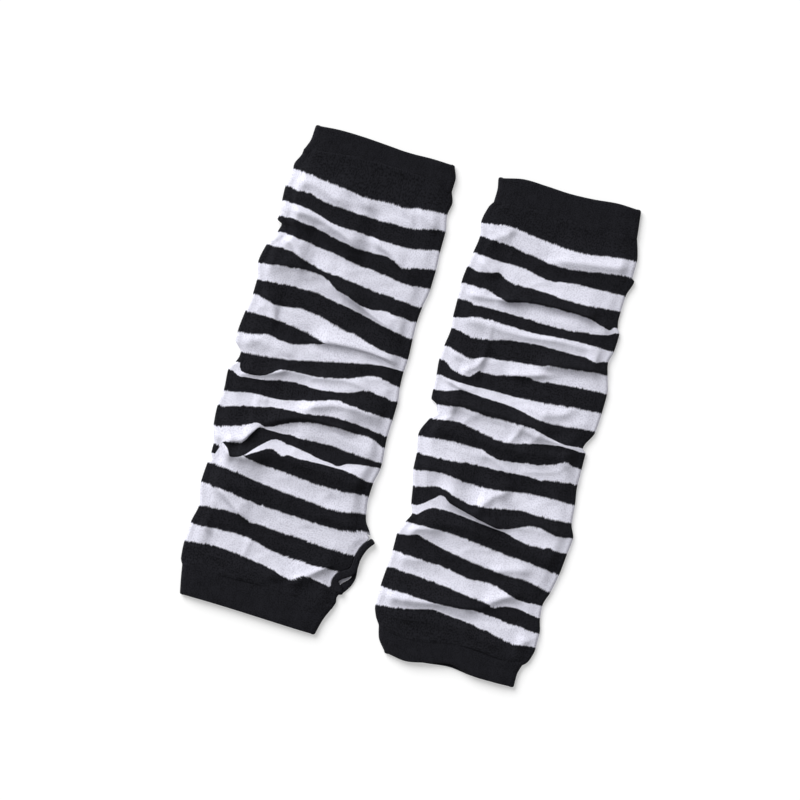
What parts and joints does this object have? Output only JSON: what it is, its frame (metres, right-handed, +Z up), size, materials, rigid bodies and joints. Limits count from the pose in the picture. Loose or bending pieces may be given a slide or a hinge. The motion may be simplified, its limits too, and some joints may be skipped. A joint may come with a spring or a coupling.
{
  "type": "pair of knitted arm warmers",
  "caption": "Pair of slim knitted arm warmers in black and white stripes with plain black cuffs and a bound thumb hole, lying flat and softly crumpled.",
  "frame": {"origin": "centre of the pair's bounding box, on the surface that the pair lies on", "axes": "+Y towards the upper cuffs, +X across the pair to the right, +Z up from the surface"},
  "size_m": [0.2856, 0.3466, 0.008],
  "materials": {
    "striped_knit": "matt fine knit, white with black stripes",
    "black_knit": "matt fine knit"
  },
  "bodies": {
    "root": {"left_upper_cuff": "black_knit", "left_sleeve": "striped_knit", "left_lower_cuff": "black_knit", "left_thumb_hole_edge": "black_knit", "right_upper_cuff": "black_knit", "right_sleeve": "striped_knit", "right_lower_cuff": "black_knit", "right_thumb_hole_edge": "black_knit"}
  },
  "joints": []
}
